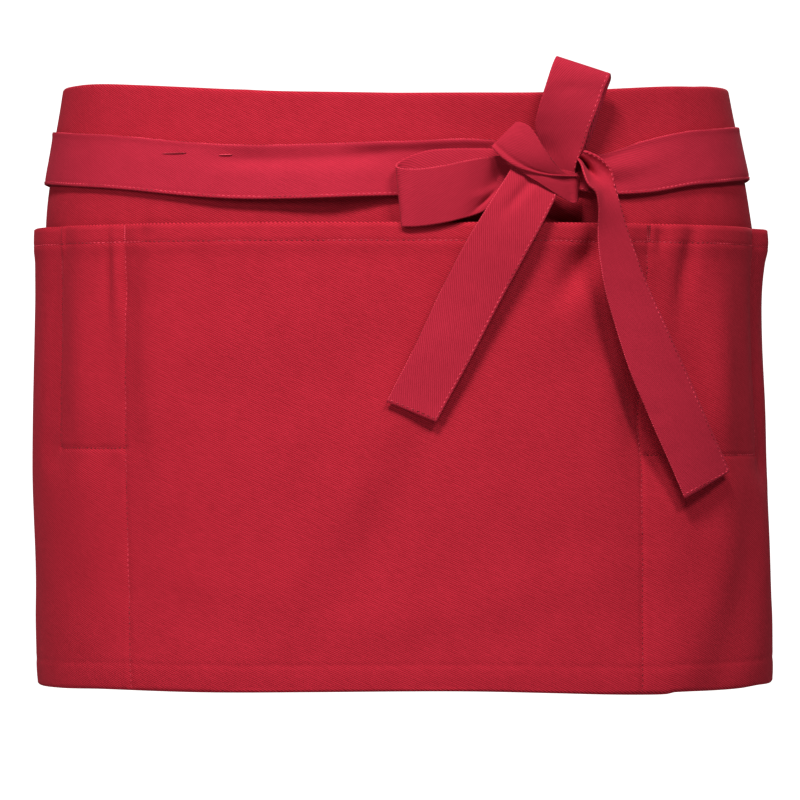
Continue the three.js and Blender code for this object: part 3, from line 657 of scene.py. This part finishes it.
def tie_surface(route, behind, side, shape):
    """The tie as a function of its place along (mm) and its share across. Also its length."""
    open_back = 2 * half_ring(0.0) - 2 * REAR
    end = route[-1, 0] * REAR

    def surface(at, share):
        at, share = np.broadcast_arrays(np.asarray(at, float), np.asarray(share, float))
        # Sewn end, then across the open back, then round to the front
        sewn = at < TIE_SEWN
        back = at < TIE_SEWN + open_back
        gone = np.clip(1 - (at - TIE_SEWN) / open_back, 0, 1)
        front = -REAR + np.maximum(at - TIE_SEWN - open_back, 0)
        up_back = curve(behind[:, 0], behind[:, 1], gone)
        up_front = curve(route[:, 0], route[:, 1], front / REAR)
        up = np.where(sewn, behind[-1, 1], np.where(back, up_back, up_front))
        wide = np.where(back, 1.0, curve(route[:, 0], route[:, 2], front / REAR))
        over_back = np.interp(gone, behind[:, 0], behind[:, 2])
        over_front = np.interp(front / REAR, route[:, 0], route[:, 3])
        over = np.where(sewn, behind[-1, 2], np.where(back, over_back, over_front))
        z = TIE_WIDTH * (up + wide * share)
        lift = TIE_LIFT + TIE_LAYER * over
        dz, dlift = shape(front, share)
        z = z + np.where(back, 0, dz)
        lift = lift + np.where(back, 0, dlift)
        gap = 2 * half_ring(z) - 2 * REAR
        where = np.where(sewn, -2 * half_ring(z) + REAR - TIE_SEWN + at,
                         np.where(back, -REAR - gone * gap, front))
        return place(side * where, z, lift)

    return surface, TIE_SEWN + open_back + REAR + end


def left_shape(front, share):
    """Dent under the upper edge and slight waves of the left tie."""
    ridge = 0.35 * bump(share, 0.47, 0.05) + 0.15 * bump(share, -0.47, 0.05)
    dent = -2.2 * bump(share, 0.22, 0.16) * smooth((front + 115) / 35) * smooth((5 - front) / 30)
    off = 2.3 * bump(front, -66, 50) + 3.8 * bump(front, -34, 26) * (0.5 - share)
    seam = -0.3 * bump(share, -0.43, 0.02)
    off = off + 2.2 * smooth((share - 0.28) / 0.2) * smooth((front + 35) / 30) * smooth((58 - front) / 10)
    wave = 0.4 * noise(front / 45, share * 1.3, 12) + 0.12 * noise(front / 11, share * 4, 13)
    return 0.35 * noise(front / 38, 0.0, 14), ridge + dent + off + seam + wave * smooth((60 - front) / 30)


def right_shape(front, share):
    """The right tie, which is gathered towards the knot."""
    near = smooth((front + 170) / 70)
    seam = -0.3 * bump(share, -0.43, 0.02)
    crease = 1.1 * near * np.sin(share * 9 + 0.8)
    wave = 0.35 * noise(front / 45, share * 1.3, 22) + 0.12 * noise(front / 11, share * 4, 23)
    return 0.3 * noise(front / 38, 0.0, 24), seam + crease + wave + 0.3 * bump(share, 0.47, 0.05)


def seen_from_front(x, z, lift):
    """A point at x and z, lift in front of the middle of the skirt's cloth."""
    down = (TOP - z) / APRON_HEIGHT
    half = half_width(z)
    share = np.clip(np.abs(x - HIP_HALF_WIDTH * curve(RING[:, 0], RING[:, 2], down)) / half, 0, 0.98)
    y = -half * RING_DEPTH * (1 - share ** RING_SQUARENESS) ** (1 / RING_SQUARENESS)
    round_ = half * np.interp(share, QUARTER_X, QUARTER_S)
    below = np.minimum(z, MOUTH)
    face = pocket_lift(round_, below) + pocket_cloth(below) / 2 + dents(round_, below)
    clear = (face + CLEARANCE + TIE_CLOTH) * smooth((MOUTH + MOUTH_HEM - z) / MOUTH_HEM)
    lift = (lift + clear + np.sqrt((lift - clear) ** 2 + 0.5)) / 2
    return np.stack([x, y - lift, z], axis=-1)


def ribbon_surface(rows, shape):
    """A ribbon of the bow as a function of its place along (mm) and its share across, and its length.
    Rows hold x, z and lift of one edge, the same of the other, and how far the middle stands out.
    x and z count from the knot's centre."""
    rows = np.asarray(rows, float)
    middle = (rows[:, 0:3] + rows[:, 3:6]) / 2
    at_rows = np.concatenate([[0], np.cumsum(np.linalg.norm(np.diff(middle, axis=0), axis=1))])
    length = at_rows[-1]

    def surface(at, share):
        at, share = np.broadcast_arrays(np.asarray(at, float), np.asarray(share, float))
        ax, az, al, bx, bz, bl, cup = (curve(at_rows, rows[:, k], at) for k in range(7))
        s = share + 0.5
        lift = lerp(al, bl, s) + cup * (1 - 4 * share * share)
        lift = lift + shape(at / length, share) + 0.12 * noise(at / 8, share * 3, 60)
        return seen_from_front(KNOT_X + lerp(ax, bx, s), KNOT_Z + lerp(az, bz, s), lift)

    return surface, length


def wrap_shape(part, share):
    """The double lower edge of the band about the knot."""
    return 0.6 * bump(share, -0.47, 0.05) - 0.5 * bump(share, -0.35, 0.05)


def plain(part, share):
    return 0.0


def left_loop_shape(part, share):
    """Creases of the front leaf where it is gathered into the knot."""
    hollow = -2.4 * smooth((part - 0.84) / 0.07) * bump(share, 0.05, 0.3)
    crease = -1.5 * bump(part, 0.87, 0.045) * bump(share, -0.3 + 2.2 * (part - 0.87), 0.05)
    return hollow + crease + 0.8 * bump(part, 0.85, 0.05) * bump(share, -0.16, 0.08)


def up_loop_shape(part, share):
    return -0.5 * bump(part, 0.42, 0.025) * bump(share, -0.1, 0.25)


def left_tail_shape(part, share):
    """The crease that comes down out of the knot."""
    return -1.5 * bump(share, -0.02 - 0.9 * part, 0.1) * smooth((0.24 - part) / 0.12)


def right_tail_shape(part, share):
    """The hollow where the tail turns over as it comes out of the knot."""
    return -11 * bump(share, -0.18, 0.18) * bump(part, 0.055, 0.042)


# Knot centre, from the middle of the apron and of the waistband
KNOT_X = 87.5
KNOT_Z = -19.5

WRAP = [
    (-27.5, 7.5, 11.5, -14, 21, 11.5, 0),
    (-35.5, 12.5, 12.5, -22.5, 26, 15.5, 0),
    (-37.5, 13.5, 14.2, -23.5, 27, 20.2, 0),
    (-35.5, 11, 15, -21.5, 26.5, 23, 0.3),
    (-31, 6.7, 16, -17.5, 25, 24.5, 0.8),
    (-25.5, 3, 16.6, -13.5, 20.3, 24.6, 1),
    (-18, 0.2, 16.8, -8.7, 12.3, 23.6, 1),
    (-8.2, -1.7, 17.2, -2, 3.5, 20.5, 0.6),
    (1.2, -2.3, 17.5, 3, -0.7, 17.5, 0.1),
    (10, -2.4, 14, 9.6, -0.5, 14, 0),
]
LOWER = [
    (-30, 4.7, 13, -24.5, 10.8, 13, 0),
    (-20, -1.3, 15.2, -17.5, 6.4, 16.2, 0.3),
    (-9.8, -7.3, 15.2, -8, 2, 17, 0.6),
    (-0.4, -13.3, 13.4, 1.3, 1, 16.2, 0.8),
    (6.2, -17, 11.4, 7.4, 0, 14.6, 0.6),
    (9, -17, 12, 10.2, -1.5, 12, 0.2),
    (10, -15.2, 9.5, 11, -3, 9.5, 0),
]
UP_LOOP = [
    (2.4, -3.3, 6.5, 8, -2.8, 8, 0),
    (-4.2, 4.9, 6.9, 10, 6, 10.5, 0),
    (-10.2, 13, 7.4, 13.4, 13.8, 13.5, 0),
    (-13.5, 23.5, 11.4, 16.8, 24.4, 17.5, 0.3),
    (-12, 34, 16.6, 20.8, 34.4, 20.4, 0.4),
    (-8.2, 46.2, 21, 24.7, 45.6, 21.8, 0.3),
    (-4, 59, 22, 27.3, 51.3, 22.3, 0),
    (-2, 63.3, 19.5, 28.3, 54, 19.8, 0),
    (-3.4, 59.8, 16.4, 28.6, 51.6, 16.6, 0),
    (-7.2, 46.5, 13.7, 26.4, 45.5, 13.9, 0),
    (-10, 34.3, 12, 22.7, 34.3, 12.2, 0),
    (-11.8, 23.2, 9.6, 19.3, 24.2, 9.8, 0),
    (-8.5, 13.3, 7, 15.8, 14, 7.4, 0),
    (-2, 4.5, 4.9, 13, 6.3, 5.4, 0),
]
LEFT_LOOP = [
    (-13, -9.8, 4.4, -13, 6.7, 4.4, 0),
    (-32.7, -18, 4.6, -30, 12.2, 4.6, 0),
    (-50.3, -23, 5.2, -53.5, 13, 5.2, 0),
    (-68.3, -27.6, 6.1, -71, 12, 6.1, 0),
    (-81, -29.5, 6.7, -81.5, 9, 6.7, 0),
    (-85.3, -30, 7.8, -87.5, 5.8, 8.6, 0),
    (-86.3, -30.5, 9.2, -89.5, 3.2, 11.2, 0),
    (-84.8, -30.5, 10.4, -87.2, 1.8, 14.2, 0),
    (-77.7, -30.3, 10.8, -78.2, 1.2, 15.8, 0),
    (-65.7, -28.7, 10.6, -64.6, 3, 15.6, 0),
    (-54.7, -26.2, 10, -52, 5.7, 14.2, 0),
    (-43.8, -22.8, 7.6, -40, 8, 11.4, -1),
    (-35, -17.2, 6.9, -31, 8.6, 8.8, -1),
    (-21.8, -11, 6.9, -20.6, 6.6, 7.6, 0),
]
LEFT_TAIL = [
    (-23, 8, 11.3, 1.3, -6.5, 11.3, 0),
    (-28.4, -1, 14.6, -3, -16, 13.8, 0),
    (-39, -18.2, 17.6, -11.5, -32.6, 16, 0),
    (-51, -37.7, 17.2, -21.4, -50.7, 16, 0.4),
    (-65.7, -66, 14.2, -34.5, -75, 14.2, 0.6),
    (-80, -96.6, 12, -49.3, -103.7, 12, 0.4),
    (-89.7, -115.7, 10, -61.3, -125.6, 10, 0.1),
    (-95, -126, 9.2, -67.6, -137.3, 9.2, 0),
]
RIGHT_TAIL = [
    (9.7, 6.8, 12, 10.3, 12.4, 9, 0),
    (11.7, 3.8, 19, 15.9, 11.2, 15, -5),
    (13.2, -1.8, 23, 23, 7.4, 18, -7),
    (15.3, -7, 24, 28.6, 1.6, 18.5, -7),
    (19.6, -11.3, 23.5, 30.5, -6.2, 17.5, -4),
    (21, -19, 22, 33.5, -17.7, 16.5, -1),
    (20.7, -36, 18, 39, -35.3, 14.5, 0),
    (24.2, -62, 16.5, 49, -61.6, 13.2, 0),
    (31, -86, 14.8, 60.4, -86.3, 12.6, 0.3),
    (39, -110, 13.6, 72, -111.6, 12.8, 0.3),
    (50, -135.4, 12.4, 83, -136.5, 13.4, 0.2),
    (59.8, -157, 11.6, 91.7, -155.4, 14, 0),
    (69.8, -179.6, 11.2, 96, -164.6, 14.4, 0),
]


def strip(name, surface, length, step=1.5, columns=25, key=0.0, face=1):
    """The cloth of a tie or a ribbon, from its surface. face is the side of the tie that is seen."""
    at = np.linspace(0, length, max(6, int(length / step)))[:, None]
    share = np.sin(np.linspace(-0.5, 0.5, columns) * math.pi)[None, :] * 0.15 \
        + np.linspace(-0.5, 0.5, columns)[None, :] * 0.7
    weave = weave_of(face * share * TIE_WIDTH, at, key)
    return cloth_mesh(name + "_cloth", surface(at, share), weave, TIE_CLOTH)


# Build the cloth
objects = {}
objects["waistband"] = waistband()
objects["skirt_panel"] = skirt()
objects["pocket_panel"] = pocket()

surfaces = {
    "tie_left": tie_surface(TIE_LEFT_ROUTE, LEFT_BEHIND, 1, left_shape),
    "tie_right": tie_surface(TIE_RIGHT_ROUTE, RIGHT_BEHIND, -1, right_shape),
    "bow_loop_left": ribbon_surface(LEFT_LOOP, left_loop_shape),
    "bow_loop_up": ribbon_surface(UP_LOOP, up_loop_shape),
    "tail_left": ribbon_surface(LEFT_TAIL, left_tail_shape),
    "tail_right": ribbon_surface(RIGHT_TAIL, right_tail_shape),
    "knot_wrap": ribbon_surface(WRAP, wrap_shape),
    "knot_lower": ribbon_surface(LOWER, plain),
}
for key, (name, (surface, length)) in enumerate(surfaces.items()):
    objects[name] = strip(name, surface, length, key=17.0 * key, face=-1 if name == "tie_left" else 1)

for name, obj in objects.items():
    material, slot = (TIE_TWILL, "tie_twill") if name in surfaces else (TWILL, "twill")
    obj.data.materials.append(material)
    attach(obj, "root")
    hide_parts(name)


# Stitches: short threads that dip into the cloth at both ends, six sides about five rings
RING_X = np.array([-1, -0.75, 0, 0.75, 1])
RING_SIZE = np.array([0.35, 0.85, 1, 0.85, 0.35])
RING_HEIGHT = np.array([-1.1, -0.15, 0.2, -0.15, -1.1])
SIDES = 6
turns = np.arange(SIDES) * 2 * math.pi / SIDES
STITCH_POINTS = np.stack([
    np.repeat(RING_X, SIDES),
    np.outer(RING_SIZE, np.cos(turns)).ravel(),
    (np.outer(RING_SIZE, np.sin(turns)) * 0.8 + RING_HEIGHT[:, None]).ravel(),
], axis=-1)
STITCH_QUADS = [[r * SIDES + k, r * SIDES + (k + 1) % SIDES,
                 (r + 1) * SIDES + (k + 1) % SIDES, (r + 1) * SIDES + k]
                for r in range(len(RING_X) - 1) for k in range(SIDES)]
END = (len(RING_X) - 1) * SIDES
STITCH_QUADS += [[0, 3, 2, 1], [0, 5, 4, 3],
                 [END, END + 1, END + 2, END + 3], [END, END + 3, END + 4, END + 5]]
STITCH_QUADS = np.array(STITCH_QUADS)


def stitch_row(surface, u, v, above, du, dv, faces=(1,), pitch=STITCH_PITCH, length=STITCH_LENGTH,
               radius=THREAD, seed=1):
    """Stitches along the line (u, v) of a cloth surface, at a distance above its middle."""
    line = surface(u, v)
    run = np.concatenate([[0], np.cumsum(np.linalg.norm(np.diff(line, axis=0), axis=1))])
    count = max(1, int(run[-1] / pitch))
    middles = (np.arange(count) + 0.5) * run[-1] / count
    u0, v0 = np.interp(middles, run, u), np.interp(middles, run, v)
    middle = surface(u0, v0)
    start = np.stack([np.interp(middles - length / 2, run, line[:, k]) for k in range(3)], -1)
    stop = np.stack([np.interp(middles + length / 2, run, line[:, k]) for k in range(3)], -1)
    way = unit(stop - start)
    normal = unit(np.cross(surface(u0 + du, v0) - surface(u0 - du, v0),
                           surface(u0, v0 + dv) - surface(u0, v0 - dv)))
    parts = []
    for face in faces:
        out = face * normal
        side = np.cross(out, way)
        wander = noise(np.arange(count) * 0.7, 0.0, seed)[:, None] * 0.12
        centre = middle + out * above + side * wander
        x, y, z = (STITCH_POINTS[:, k][None, :, None] for k in range(3))
        stretch = (0.92 + 0.1 * noise(np.arange(count) * 1.3, 5.0, seed))[:, None, None] * length / 2
        parts.append(centre[:, None] + way[:, None] * x * stretch
                     + side[:, None] * y * radius + out[:, None] * z * radius)
    return np.concatenate(parts)


def stitch_mesh(name, parts, material):
    """One mesh of all the stitches in parts, each an array of stitches by points."""
    threads = np.concatenate(parts)
    count = len(threads)
    shift = (np.arange(count) * len(STITCH_POINTS))[:, None, None]
    quads = (STITCH_QUADS[None] + shift).reshape(-1, 4)
    obj = make_mesh(name, threads.reshape(-1, 3), quads)
    obj.data.materials.append(material)
    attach(obj, "root")
    return obj


def thread_material(name, pale, dark, share_pale):
    """Thread that shows pale in some places and sinks into the cloth's colour in others. The pale tone is
    partly the thread's own and partly a painted highlight, the light that stitches and folded edges catch.
    """
    material = bpy.data.materials.new(name)
    material.use_nodes = True
    tree = material.node_tree
    shader = tree.nodes["Principled BSDF"]
    place_ = node(tree, "ShaderNodeTexCoord")
    patch = node(tree, "ShaderNodeTexNoise", Scale=38.0, Detail=2.0)
    tree.links.new(place_.outputs["Object"], patch.inputs["Vector"])
    mix = node(tree, "ShaderNodeMix", data_type="RGBA", clamp_factor=True)
    tree.links.new(maths(tree, "ADD", maths(tree, "MULTIPLY", patch.outputs[0], 5.0), share_pale - 2.5),
                   mix.inputs["Factor"])
    mix.inputs[6].default_value = (*dark, 1.0)
    mix.inputs[7].default_value = (*pale, 1.0)
    tree.links.new(mix.outputs[2], shader.inputs["Base Color"])
    shader.inputs["Roughness"].default_value = 0.55
    shader.inputs["Specular IOR Level"].default_value = 0.3
    return material


# Pale thread: partly the thread's own tone, partly a painted highlight of the light on stitches and edges
PALE_THREAD_AND_HIGHLIGHT = (0.66, 0.062, 0.105)
DARK_THREAD = (0.24, 0.012, 0.022)
POCKET_THREADS = thread_material("pocket_thread", PALE_THREAD_AND_HIGHLIGHT, DARK_THREAD, 0.3)
# The tie threads are mostly pale, which partly paints the highlight along the ties' folded edges
TIE_THREADS = thread_material("tie_thread", PALE_THREAD_AND_HIGHLIGHT, DARK_THREAD, 0.75)


def line_between(a, b, step=0.6):
    count = max(2, int(math.hypot(b[0] - a[0], b[1] - a[1]) / step))
    return np.linspace(a[0], b[0], count), np.linspace(a[1], b[1], count)


def pocket_stitches():
    rows = []
    above = CLOTH / 2

    def seam(a, b, height=above, **more):
        u, v = line_between(a, b)
        rows.append(stitch_row(pocket_face, u, v, height, 0.5, 0.5, **more))

    stitch = MOUTH - MOUTH_HEM
    hem_above = float(pocket_cloth(stitch)) / 2
    seam((-REAR + 3, stitch), (REAR - 3, stitch), hem_above, seed=2)
    for k, (ax, az, bx, bz) in enumerate(SEAMS[:2]):
        start = (ax + (bx - ax) * 0.04, az - MOUTH_HEM - 1)
        seam(start, (bx, bz + 1), seed=3 + k)
    for k, (ax, az, bx, bz) in enumerate(SEAMS[2:4]):
        seam((ax, az - 1), (bx, bz), seed=6 + k)
    for k, (ax, az, bx, bz) in enumerate(SEAMS[4:6]):
        seam((ax, az), (bx, bz), seed=9 + k)
    for side in (-1, 1):
        seam((side * (REAR - 6), MOUTH - 1), (side * (REAR - 6), HEM + 3), seed=12 + side)
    # Close bar stitches at the tops of the dividers
    for ax, shift in ((-DIVIDER_LEFT, 0.0), (DIVIDER_RIGHT, 0.9), (DIVIDER_RIGHT, -1.0)):
        u, v = line_between((ax + shift, MOUTH - 0.8), (ax + shift, MOUTH - MOUTH_HEM))
        rows.append(stitch_row(pocket_face, u, v, hem_above + 0.05, 0.5, 0.5, pitch=0.95, length=1.2,
                               radius=0.42, seed=20))
    return stitch_mesh("pocket_stitches", rows, POCKET_THREADS)


# Loose threads: first and last place along the cloth, height
LOOSE_THREADS = [(-131.5, -115.5, -8.2), (-98, -89.5, -9.2)]
# Fine beads of yarn along a folded edge, in mostly pale thread that partly paints the edge's highlight, and
# how much of a tie shows them
BEADS = {"pitch": 1.3, "length": 1.15, "radius": 0.3}
SEEN_TIE = 470
# Shares across that are stitched and that show beads, first and last share along of the beads
EDGES = {
    "bow_loop_left": ((), (0.49,), 0, 1),
    "bow_loop_up": ((0.44,), (0.49,), 0, 0.5),
    "tail_left": ((0.455,), (-0.49,), 0, 1),
    "tail_right": ((0.455,), (-0.49,), 0, 1),
    "knot_wrap": ((), (-0.49, -0.41), 0.25, 1),
}


def tie_stitches():
    rows = []
    for name, face in (("tie_left", 1), ("tie_right", -1)):
        surface, length = surfaces[name]
        at = np.arange(2.0, length - 1, 0.6)
        rows.append(stitch_row(surface, at, np.full(at.shape, -0.455), TIE_CLOTH / 2, 0.5, 0.02,
                               faces=(face,), seed=31))
        seen = at[at > length - SEEN_TIE]
        rows.append(stitch_row(surface, seen, np.full(seen.shape, 0.49), TIE_CLOTH / 4, 0.5, 0.02,
                               faces=(face,), seed=32, **BEADS))
    for k, name in enumerate(("bow_loop_left", "bow_loop_up", "tail_left", "tail_right", "knot_wrap")):
        surface, length = surfaces[name]
        stitched, beaded, first, last = EDGES[name]
        at = np.arange(1.0, length - 1, 0.5)
        for share in stitched:
            rows.append(stitch_row(surface, at, np.full(at.shape, share), TIE_CLOTH / 2, 0.5, 0.02,
                                   faces=(1, -1), seed=40 + k))
        at = np.arange(max(1.0, first * length), last * length - 1, 0.4)
        for share in beaded:
            rows.append(stitch_row(surface, at, np.full(at.shape, share), TIE_CLOTH / 4, 0.5, 0.02,
                                   faces=(1,), seed=45 + k, **BEADS))
    for name in ("tail_left", "tail_right"):
        surface, length = surfaces[name]
        share = np.linspace(-0.46, 0.46, 40)
        rows.append(stitch_row(surface, np.full(share.shape, length - 1.8), share, TIE_CLOTH / 2, 0.5, 0.02,
                               faces=(1, -1), seed=50))
    # Two loose threads that lie on the left tie
    surface, length = surfaces["tie_left"]
    for first, last, height in LOOSE_THREADS:
        front = np.linspace(first, last, 12)
        at = length - TIE_LEFT_ROUTE[-1, 0] * REAR + front
        share = height / TIE_WIDTH - curve(TIE_LEFT_ROUTE[:, 0], TIE_LEFT_ROUTE[:, 1], front / REAR)
        rows.append(stitch_row(surface, at, share, TIE_CLOTH / 2 + 0.5, 0.5, 0.02, pitch=last - first,
                               length=last - first, radius=0.34, seed=60))
    return stitch_mesh("tie_stitches", rows, TIE_THREADS)


pocket_stitches()
tie_stitches()


def flat_area(obj):
    """Half of the closed surface, in square metres."""
    mesh = obj.data
    areas = np.empty(len(mesh.polygons))
    mesh.polygons.foreach_get("area", areas)
    return float(areas.sum()) / 2


# How each piece of the ties is held, and on what it rests
TIES_HELD = {
    "tie_left": ("stretched", "waistband"),
    "tie_right": ("stretched", "waistband"),
    "bow_loop_left": ("folded", "tie_left"),
    "bow_loop_up": ("folded", "knot_wrap"),
    "tail_left": ("hung", "knot_lower"),
    "tail_right": ("hung", "knot_lower"),
    "knot_wrap": ("gathered", "tie_left"),
    "knot_lower": ("gathered", "tie_left"),
}
# Below, the drawn cloth's own area of each piece is taken. It isn't the length that the ties were cut to.
# A test of area against them always holds and shows nothing. Against their routes the two knot pieces
# have too little cloth, 0.57 and 0.43 of it.
for name, (held, on) in TIES_HELD.items():
    area = flat_area(objects[name])


# Stage: a pale floor far below and a white card far behind
def plain_material(name, colour, glow=0.0):
    material = bpy.data.materials.new(name)
    material.use_nodes = True
    shader = material.node_tree.nodes["Principled BSDF"]
    shader.inputs["Base Color"].default_value = (*colour, 1.0)
    shader.inputs["Roughness"].default_value = 0.95
    shader.inputs["Emission Color"].default_value = (1.0, 1.0, 1.0, 1.0)
    shader.inputs["Emission Strength"].default_value = glow
    return material


def card(name, corners, material):
    obj = make_mesh(name, np.array(corners, float) * 1000, np.array([[0, 1, 2, 3]]), None, False)
    obj.data.materials.append(material)
    return obj


card("floor", [(-6, -6, -0.9), (6, -6, -0.9), (6, 6, -0.9), (-6, 6, -0.9)],
     plain_material("floor_white", (0.5, 0.5, 0.5)))
card("backdrop", [(-1.2, 6.4, -0.9), (1.2, 6.4, -0.9), (1.2, 6.4, 1.2), (-1.2, 6.4, 1.2)],
     plain_material("backdrop_white", (0.8, 0.8, 0.8), 1.0))

world = bpy.data.worlds.new("studio")
world.use_nodes = True
world.node_tree.nodes["Background"].inputs[0].default_value = (1.0, 1.0, 1.0, 1.0)
world.node_tree.nodes["Background"].inputs[1].default_value = 0.006
bpy.context.scene.world = world


def lamp(name, place_, target, size, power):
    data = bpy.data.lights.new(name, "AREA")
    data.shape = "RECTANGLE"
    data.size, data.size_y = size
    data.energy = power
    obj = bpy.data.objects.new(name, data)
    obj.location = place_
    obj.rotation_euler = (Vector(target) - Vector(place_)).to_track_quat("-Z", "Y").to_euler()
    bpy.context.scene.collection.objects.link(obj)


# Place, target, size in metres and power in watts
LAMPS = {
    "high": ((-0.5, -1.86, 2.15), (0, 0, -0.15), (0.7, 0.5), 80),
    "right": ((1.12, -1.8, 1.97), (0, 0, -0.15), (0.9, 0.6), 47),
    "left": ((-1.77, -1.77, 0.76), (0, 0, -0.15), (0.9, 0.9), 21),
    "back": ((0.4, 2.4, 1.1), (0, 0, -0.1), (1.4, 1.4), 30),
}
for name, row in LAMPS.items():
    lamp(name, *row)

view = bpy.context.scene.view_settings
view.view_transform = "Standard"
view.look = "None"
view.gamma = 0.87
